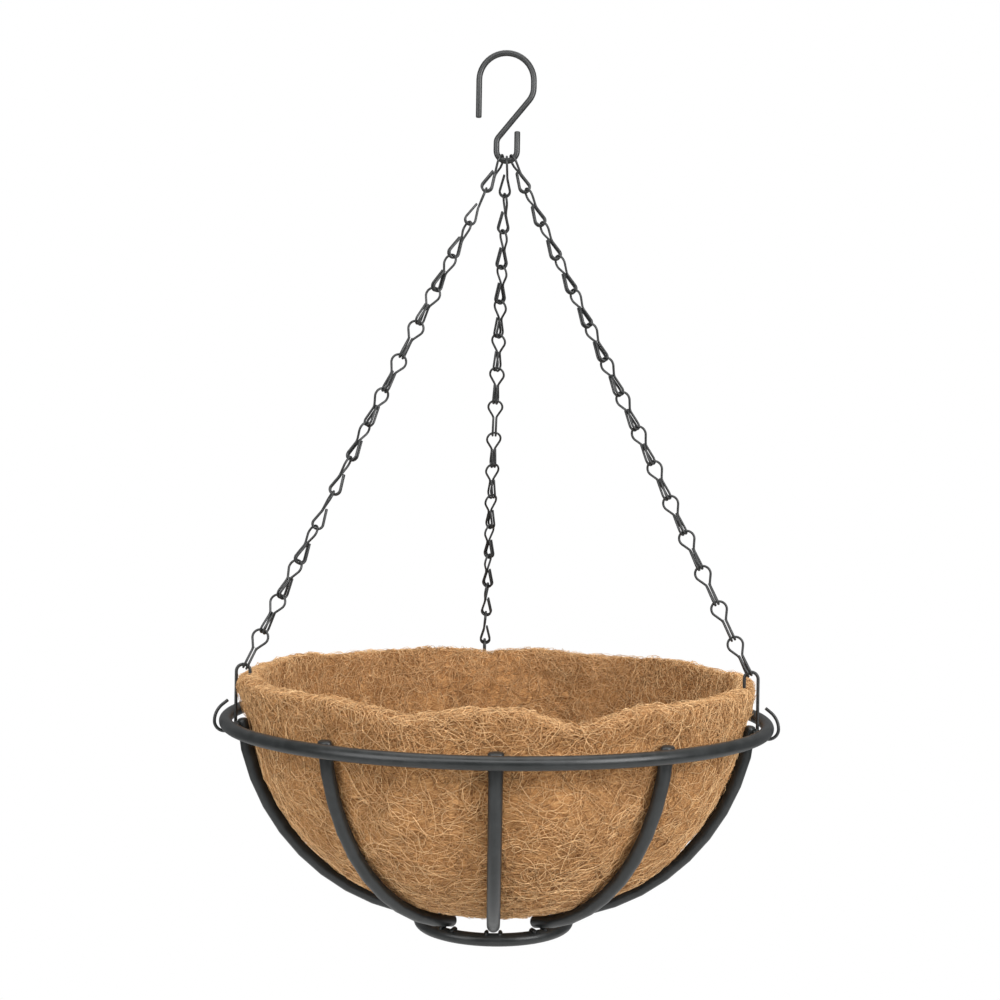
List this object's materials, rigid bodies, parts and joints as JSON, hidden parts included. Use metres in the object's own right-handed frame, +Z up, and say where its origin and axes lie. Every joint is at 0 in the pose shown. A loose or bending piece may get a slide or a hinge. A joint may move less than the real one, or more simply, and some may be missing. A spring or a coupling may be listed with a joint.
{
  "type": "hanging basket",
  "caption": "Open bowl of welded round rod with a pressed coir liner, hung from an S-hook by wire chains with ring hooks.",
  "frame": {"origin": "the point that it hangs from, at the top of the inside of the S-hook's upper bend", "axes": "+Z up, front towards -Y, +X to the right seen from the front; the S-hook lies in the XZ plane"},
  "size_m": [0.3504, 0.3539, 0.561],
  "materials": {
    "painted_steel": "satin dark grey powder coat",
    "painted_wire": "satin near-black coated wire",
    "coir": "matte pressed coconut fibre"
  },
  "bodies": {
    "s_hook": {"s_hook": "painted_wire"},
    "basket": {"top_ring": "painted_steel", "base_ring_with_end_ribs": "painted_steel", "rib_01": "painted_steel", "rib_02": "painted_steel", "rib_03": "painted_steel", "rib_04": "painted_steel", "rib_06": "painted_steel", "rib_07": "painted_steel", "rib_08": "painted_steel", "rib_09": "painted_steel", "coir_liner": "coir"},
    "back_chain_link_01": {"back_chain_link_01": "painted_wire"},
    "back_chain_link_02": {"back_chain_link_02": "painted_wire"},
    "back_chain_link_03": {"back_chain_link_03": "painted_wire"},
    "back_chain_link_04": {"back_chain_link_04": "painted_wire"},
    "back_chain_link_05": {"back_chain_link_05": "painted_wire"},
    "back_chain_link_06": {"back_chain_link_06": "painted_wire"},
    "back_chain_link_07": {"back_chain_link_07": "painted_wire"},
    "back_chain_link_08": {"back_chain_link_08": "painted_wire"},
    "back_chain_link_09": {"back_chain_link_09": "painted_wire"},
    "back_chain_link_10": {"back_chain_link_10": "painted_wire"},
    "back_chain_link_11": {"back_chain_link_11": "painted_wire"},
    "back_chain_link_12": {"back_chain_link_12": "painted_wire"},
    "back_chain_link_13": {"back_chain_link_13": "painted_wire"},
    "back_chain_link_14": {"back_chain_link_14": "painted_wire"},
    "back_chain_link_15": {"back_chain_link_15": "painted_wire"},
    "back_ring_hook": {"back_ring_hook": "painted_wire"},
    "left_chain_link_01": {"left_chain_link_01": "painted_wire"},
    "left_chain_link_02": {"left_chain_link_02": "painted_wire"},
    "left_chain_link_03": {"left_chain_link_03": "painted_wire"},
    "left_chain_link_04": {"left_chain_link_04": "painted_wire"},
    "left_chain_link_05": {"left_chain_link_05": "painted_wire"},
    "left_chain_link_06": {"left_chain_link_06": "painted_wire"},
    "left_chain_link_07": {"left_chain_link_07": "painted_wire"},
    "left_chain_link_08": {"left_chain_link_08": "painted_wire"},
    "left_chain_link_09": {"left_chain_link_09": "painted_wire"},
    "left_chain_link_10": {"left_chain_link_10": "painted_wire"},
    "left_chain_link_11": {"left_chain_link_11": "painted_wire"},
    "left_chain_link_12": {"left_chain_link_12": "painted_wire"},
    "left_chain_link_13": {"left_chain_link_13": "painted_wire"},
    "left_chain_link_14": {"left_chain_link_14": "painted_wire"},
    "left_chain_link_15": {"left_chain_link_15": "painted_wire"},
    "left_ring_hook": {"left_ring_hook": "painted_wire"},
    "right_chain_link_01": {"right_chain_link_01": "painted_wire"},
    "right_chain_link_02": {"right_chain_link_02": "painted_wire"},
    "right_chain_link_03": {"right_chain_link_03": "painted_wire"},
    "right_chain_link_04": {"right_chain_link_04": "painted_wire"},
    "right_chain_link_05": {"right_chain_link_05": "painted_wire"},
    "right_chain_link_06": {"right_chain_link_06": "painted_wire"},
    "right_chain_link_07": {"right_chain_link_07": "painted_wire"},
    "right_chain_link_08": {"right_chain_link_08": "painted_wire"},
    "right_chain_link_09": {"right_chain_link_09": "painted_wire"},
    "right_chain_link_10": {"right_chain_link_10": "painted_wire"},
    "right_chain_link_11": {"right_chain_link_11": "painted_wire"},
    "right_chain_link_12": {"right_chain_link_12": "painted_wire"},
    "right_chain_link_13": {"right_chain_link_13": "painted_wire"},
    "right_chain_link_14": {"right_chain_link_14": "painted_wire"},
    "right_chain_link_15": {"right_chain_link_15": "painted_wire"},
    "right_ring_hook": {"right_ring_hook": "painted_wire"}
  },
  "joints": [
    {"name": "basket_swing", "type": "hinge", "parent": "s_hook", "child": "basket", "pos_m": [0, 0, -0.0666], "axis": [1, 0, 0], "range_deg": [-30, 30]},
    {"name": "back_chain_bow", "type": "slide", "parent": "basket", "child": "back_chain_link_08", "axis": [0.0547, -0.8947, -0.4432], "range_m": [-0.01, 0.01], "stiffness_N_per_m": 60},
    {"name": "back_link_01_hinge", "type": "hinge", "parent": "basket", "child": "back_chain_link_01", "pos_m": [0.00085, -0.0008, -0.06569], "axis": [-0.9981, -0.061, 0], "range_deg": [-6, 6]},
    {"name": "back_link_02_hinge", "type": "hinge", "parent": "basket", "child": "back_chain_link_02", "pos_m": [0.00097, -0.00257, -0.06208], "axis": [-0.9981, -0.061, 0], "range_deg": [-5.15, 5.15]},
    {"name": "back_link_03_hinge", "type": "hinge", "parent": "basket", "child": "back_chain_link_03", "pos_m": [0.00128, -0.0072, -0.05271], "axis": [-0.9981, -0.061, 0], "range_deg": [-4.3, 4.3]},
    {"name": "back_link_04_hinge", "type": "hinge", "parent": "basket", "child": "back_chain_link_04", "pos_m": [0.00191, -0.0168, -0.03325], "axis": [-0.9981, -0.061, 0], "range_deg": [-3.45, 3.45]},
    {"name": "back_link_05_hinge", "type": "hinge", "parent": "basket", "child": "back_chain_link_05", "pos_m": [0.00321, -0.03636, 0.0064], "axis": [-0.9981, -0.061, 0], "range_deg": [-2.6, 2.6]},
    {"name": "back_link_06_hinge", "type": "hinge", "parent": "basket", "child": "back_chain_link_06", "pos_m": [0.00615, -0.08082, 0.09651], "axis": [-0.9981, -0.061, 0], "range_deg": [-1.75, 1.75]},
    {"name": "back_link_07_hinge", "type": "hinge", "parent": "basket", "child": "back_chain_link_07", "pos_m": [0.01568, -0.22487, 0.38847], "axis": [-0.9981, -0.061, 0], "range_deg": [-0.9, 0.9]},
    {"name": "back_link_09_hinge", "type": "hinge", "parent": "basket", "child": "back_chain_link_09", "pos_m": [-0.02456, 0.38334, -0.84424], "axis": [-0.9981, -0.061, 0], "range_deg": [-0.9, 0.9]},
    {"name": "back_link_10_hinge", "type": "hinge", "parent": "basket", "child": "back_chain_link_10", "pos_m": [-0.01503, 0.23929, -0.55228], "axis": [-0.9981, -0.061, 0], "range_deg": [-1.75, 1.75]},
    {"name": "back_link_11_hinge", "type": "hinge", "parent": "basket", "child": "back_chain_link_11", "pos_m": [-0.01209, 0.19483, -0.46217], "axis": [-0.9981, -0.061, 0], "range_deg": [-2.6, 2.6]},
    {"name": "back_link_12_hinge", "type": "hinge", "parent": "basket", "child": "back_chain_link_12", "pos_m": [-0.01079, 0.17527, -0.42252], "axis": [-0.9981, -0.061, 0], "range_deg": [-3.45, 3.45]},
    {"name": "back_link_13_hinge", "type": "hinge", "parent": "basket", "child": "back_chain_link_13", "pos_m": [-0.01016, 0.16566, -0.40306], "axis": [-0.9981, -0.061, 0], "range_deg": [-4.3, 4.3]},
    {"name": "back_link_14_hinge", "type": "hinge", "parent": "basket", "child": "back_chain_link_14", "pos_m": [-0.00985, 0.16104, -0.39369], "axis": [-0.9981, -0.061, 0], "range_deg": [-5.15, 5.15]},
    {"name": "back_link_15_hinge", "type": "hinge", "parent": "basket", "child": "back_chain_link_15", "pos_m": [-0.00973, 0.15926, -0.39008], "axis": [-0.9981, -0.061, 0], "range_deg": [-6, 6]},
    {"name": "back_ring_hook_hinge", "type": "hinge", "parent": "basket", "child": "back_ring_hook", "pos_m": [-0.00973, 0.15926, -0.39008], "axis": [-0.9981, -0.061, 0], "range_deg": [-0.2, 1.5]},
    {"name": "left_chain_bow", "type": "slide", "parent": "basket", "child": "left_chain_link_08", "axis": [0.8787, 0.1948, -0.4359], "range_m": [-0.01, 0.01], "stiffness_N_per_m": 60},
    {"name": "left_link_01_hinge", "type": "hinge", "parent": "basket", "child": "left_chain_link_01", "pos_m": [-0.00203, 0.00017, -0.06462], "axis": [0.2164, -0.9763, 0], "range_deg": [-6, 6]},
    {"name": "left_link_02_hinge", "type": "hinge", "parent": "basket", "child": "left_chain_link_02", "pos_m": [-0.00032, 0.00056, -0.061], "axis": [0.2164, -0.9763, 0], "range_deg": [-5.15, 5.15]},
    {"name": "left_link_03_hinge", "type": "hinge", "parent": "basket", "child": "left_chain_link_03", "pos_m": [0.00412, 0.00156, -0.0516], "axis": [0.2164, -0.9763, 0], "range_deg": [-4.3, 4.3]},
    {"name": "left_link_04_hinge", "type": "hinge", "parent": "basket", "child": "left_chain_link_04", "pos_m": [0.01335, 0.00364, -0.03207], "axis": [0.2164, -0.9763, 0], "range_deg": [-3.45, 3.45]},
    {"name": "left_link_05_hinge", "type": "hinge", "parent": "basket", "child": "left_chain_link_05", "pos_m": [0.03214, 0.00789, 0.00771], "axis": [0.2164, -0.9763, 0], "range_deg": [-2.6, 2.6]},
    {"name": "left_link_06_hinge", "type": "hinge", "parent": "basket", "child": "left_chain_link_06", "pos_m": [0.07486, 0.01753, 0.09811], "axis": [0.2164, -0.9763, 0], "range_deg": [-1.75, 1.75]},
    {"name": "left_link_07_hinge", "type": "hinge", "parent": "basket", "child": "left_chain_link_07", "pos_m": [0.21325, 0.04876, 0.39103], "axis": [0.2164, -0.9763, 0], "range_deg": [-0.9, 0.9]},
    {"name": "left_link_09_hinge", "type": "hinge", "parent": "basket", "child": "left_chain_link_09", "pos_m": [-0.37107, -0.08312, -0.84571], "axis": [0.2164, -0.9763, 0], "range_deg": [-0.9, 0.9]},
    {"name": "left_link_10_hinge", "type": "hinge", "parent": "basket", "child": "left_chain_link_10", "pos_m": [-0.23268, -0.05189, -0.5528], "axis": [0.2164, -0.9763, 0], "range_deg": [-1.75, 1.75]},
    {"name": "left_link_11_hinge", "type": "hinge", "parent": "basket", "child": "left_chain_link_11", "pos_m": [-0.18997, -0.04225, -0.4624], "axis": [0.2164, -0.9763, 0], "range_deg": [-2.6, 2.6]},
    {"name": "left_link_12_hinge", "type": "hinge", "parent": "basket", "child": "left_chain_link_12", "pos_m": [-0.17117, -0.038, -0.42262], "axis": [0.2164, -0.9763, 0], "range_deg": [-3.45, 3.45]},
    {"name": "left_link_13_hinge", "type": "hinge", "parent": "basket", "child": "left_chain_link_13", "pos_m": [-0.16195, -0.03592, -0.40309], "axis": [0.2164, -0.9763, 0], "range_deg": [-4.3, 4.3]},
    {"name": "left_link_14_hinge", "type": "hinge", "parent": "basket", "child": "left_chain_link_14", "pos_m": [-0.15751, -0.03492, -0.39369], "axis": [0.2164, -0.9763, 0], "range_deg": [-5.15, 5.15]},
    {"name": "left_link_15_hinge", "type": "hinge", "parent": "basket", "child": "left_chain_link_15", "pos_m": [-0.1558, -0.03453, -0.39007], "axis": [0.2164, -0.9763, 0], "range_deg": [-6, 6]},
    {"name": "left_ring_hook_hinge", "type": "hinge", "parent": "basket", "child": "left_ring_hook", "pos_m": [-0.1558, -0.03453, -0.39007], "axis": [0.2164, -0.9763, 0], "range_deg": [-0.2, 1.5]},
    {"name": "right_chain_bow", "type": "slide", "parent": "basket", "child": "right_chain_link_08", "axis": [-0.8803, 0.1952, -0.4324], "range_m": [-0.01, 0.01], "stiffness_N_per_m": 60},
    {"name": "right_link_01_hinge", "type": "hinge", "parent": "basket", "child": "right_chain_link_01", "pos_m": [0.00364, 0.00017, -0.06461], "axis": [0.2164, 0.9763, 0], "range_deg": [-6, 6]},
    {"name": "right_link_02_hinge", "type": "hinge", "parent": "basket", "child": "right_chain_link_02", "pos_m": [0.00194, 0.00056, -0.061], "axis": [0.2164, 0.9763, 0], "range_deg": [-5.15, 5.15]},
    {"name": "right_link_03_hinge", "type": "hinge", "parent": "basket", "child": "right_chain_link_03", "pos_m": [-0.00245, 0.00156, -0.05159], "axis": [0.2164, 0.9763, 0], "range_deg": [-4.3, 4.3]},
    {"name": "right_link_04_hinge", "type": "hinge", "parent": "basket", "child": "right_chain_link_04", "pos_m": [-0.01158, 0.00364, -0.03207], "axis": [0.2164, 0.9763, 0], "range_deg": [-3.45, 3.45]},
    {"name": "right_link_05_hinge", "type": "hinge", "parent": "basket", "child": "right_chain_link_05", "pos_m": [-0.03018, 0.00789, 0.00771], "axis": [0.2164, 0.9763, 0], "range_deg": [-2.6, 2.6]},
    {"name": "right_link_06_hinge", "type": "hinge", "parent": "basket", "child": "right_chain_link_06", "pos_m": [-0.07245, 0.01753, 0.09812], "axis": [0.2164, 0.9763, 0], "range_deg": [-1.75, 1.75]},
    {"name": "right_link_07_hinge", "type": "hinge", "parent": "basket", "child": "right_chain_link_07", "pos_m": [-0.20941, 0.04876, 0.39103], "axis": [0.2164, 0.9763, 0], "range_deg": [-0.9, 0.9]},
    {"name": "right_link_09_hinge", "type": "hinge", "parent": "basket", "child": "right_chain_link_09", "pos_m": [0.36885, -0.08312, -0.84571], "axis": [0.2164, 0.9763, 0], "range_deg": [-0.9, 0.9]},
    {"name": "right_link_10_hinge", "type": "hinge", "parent": "basket", "child": "right_chain_link_10", "pos_m": [0.2319, -0.05189, -0.5528], "axis": [0.2164, 0.9763, 0], "range_deg": [-1.75, 1.75]},
    {"name": "right_link_11_hinge", "type": "hinge", "parent": "basket", "child": "right_chain_link_11", "pos_m": [0.18962, -0.04225, -0.46239], "axis": [0.2164, 0.9763, 0], "range_deg": [-2.6, 2.6]},
    {"name": "right_link_12_hinge", "type": "hinge", "parent": "basket", "child": "right_chain_link_12", "pos_m": [0.17103, -0.038, -0.42261], "axis": [0.2164, 0.9763, 0], "range_deg": [-3.45, 3.45]},
    {"name": "right_link_13_hinge", "type": "hinge", "parent": "basket", "child": "right_chain_link_13", "pos_m": [0.1619, -0.03592, -0.40309], "axis": [0.2164, 0.9763, 0], "range_deg": [-4.3, 4.3]},
    {"name": "right_link_14_hinge", "type": "hinge", "parent": "basket", "child": "right_chain_link_14", "pos_m": [0.1575, -0.03492, -0.39368], "axis": [0.2164, 0.9763, 0], "range_deg": [-5.15, 5.15]},
    {"name": "right_link_15_hinge", "type": "hinge", "parent": "basket", "child": "right_chain_link_15", "pos_m": [0.15581, -0.03453, -0.39007], "axis": [0.2164, 0.9763, 0], "range_deg": [-6, 6]},
    {"name": "right_ring_hook_hinge", "type": "hinge", "parent": "basket", "child": "right_ring_hook", "pos_m": [0.15581, -0.03453, -0.39007], "axis": [0.2164, 0.9763, 0], "range_deg": [-0.2, 1.5]}
  ],
  "couplings": [
    {"joint": "back_link_01_hinge", "follows": "back_chain_bow", "rad_per_m": 10.362},
    {"joint": "back_link_02_hinge", "follows": "back_chain_bow", "rad_per_m": 8.882},
    {"joint": "back_link_03_hinge", "follows": "back_chain_bow", "rad_per_m": 7.4016},
    {"joint": "back_link_04_hinge", "follows": "back_chain_bow", "rad_per_m": 5.9213},
    {"joint": "back_link_05_hinge", "follows": "back_chain_bow", "rad_per_m": 4.441},
    {"joint": "back_link_06_hinge", "follows": "back_chain_bow", "rad_per_m": 2.9607},
    {"joint": "back_link_07_hinge", "follows": "back_chain_bow", "rad_per_m": 1.4803},
    {"joint": "back_link_09_hinge", "follows": "back_chain_bow", "rad_per_m": -1.4803},
    {"joint": "back_link_10_hinge", "follows": "back_chain_bow", "rad_per_m": -2.9607},
    {"joint": "back_link_11_hinge", "follows": "back_chain_bow", "rad_per_m": -4.441},
    {"joint": "back_link_12_hinge", "follows": "back_chain_bow", "rad_per_m": -5.9213},
    {"joint": "back_link_13_hinge", "follows": "back_chain_bow", "rad_per_m": -7.4016},
    {"joint": "back_link_14_hinge", "follows": "back_chain_bow", "rad_per_m": -8.882},
    {"joint": "back_link_15_hinge", "follows": "back_chain_bow", "rad_per_m": -10.362},
    {"joint": "left_link_01_hinge", "follows": "left_chain_bow", "rad_per_m": 10.37},
    {"joint": "left_link_02_hinge", "follows": "left_chain_bow", "rad_per_m": 8.8885},
    {"joint": "left_link_03_hinge", "follows": "left_chain_bow", "rad_per_m": 7.407},
    {"joint": "left_link_04_hinge", "follows": "left_chain_bow", "rad_per_m": 5.9256},
    {"joint": "left_link_05_hinge", "follows": "left_chain_bow", "rad_per_m": 4.4442},
    {"joint": "left_link_06_hinge", "follows": "left_chain_bow", "rad_per_m": 2.9628},
    {"joint": "left_link_07_hinge", "follows": "left_chain_bow", "rad_per_m": 1.4814},
    {"joint": "left_link_09_hinge", "follows": "left_chain_bow", "rad_per_m": -1.4814},
    {"joint": "left_link_10_hinge", "follows": "left_chain_bow", "rad_per_m": -2.9628},
    {"joint": "left_link_11_hinge", "follows": "left_chain_bow", "rad_per_m": -4.4442},
    {"joint": "left_link_12_hinge", "follows": "left_chain_bow", "rad_per_m": -5.9256},
    {"joint": "left_link_13_hinge", "follows": "left_chain_bow", "rad_per_m": -7.407},
    {"joint": "left_link_14_hinge", "follows": "left_chain_bow", "rad_per_m": -8.8885},
    {"joint": "left_link_15_hinge", "follows": "left_chain_bow", "rad_per_m": -10.37},
    {"joint": "right_link_01_hinge", "follows": "right_chain_bow", "rad_per_m": 10.389},
    {"joint": "right_link_02_hinge", "follows": "right_chain_bow", "rad_per_m": 8.9051},
    {"joint": "right_link_03_hinge", "follows": "right_chain_bow", "rad_per_m": 7.421},
    {"joint": "right_link_04_hinge", "follows": "right_chain_bow", "rad_per_m": 5.9368},
    {"joint": "right_link_05_hinge", "follows": "right_chain_bow", "rad_per_m": 4.4526},
    {"joint": "right_link_06_hinge", "follows": "right_chain_bow", "rad_per_m": 2.9684},
    {"joint": "right_link_07_hinge", "follows": "right_chain_bow", "rad_per_m": 1.4842},
    {"joint": "right_link_09_hinge", "follows": "right_chain_bow", "rad_per_m": -1.4842},
    {"joint": "right_link_10_hinge", "follows": "right_chain_bow", "rad_per_m": -2.9684},
    {"joint": "right_link_11_hinge", "follows": "right_chain_bow", "rad_per_m": -4.4526},
    {"joint": "right_link_12_hinge", "follows": "right_chain_bow", "rad_per_m": -5.9368},
    {"joint": "right_link_13_hinge", "follows": "right_chain_bow", "rad_per_m": -7.421},
    {"joint": "right_link_14_hinge", "follows": "right_chain_bow", "rad_per_m": -8.9051},
    {"joint": "right_link_15_hinge", "follows": "right_chain_bow", "rad_per_m": -10.389}
  ]
}
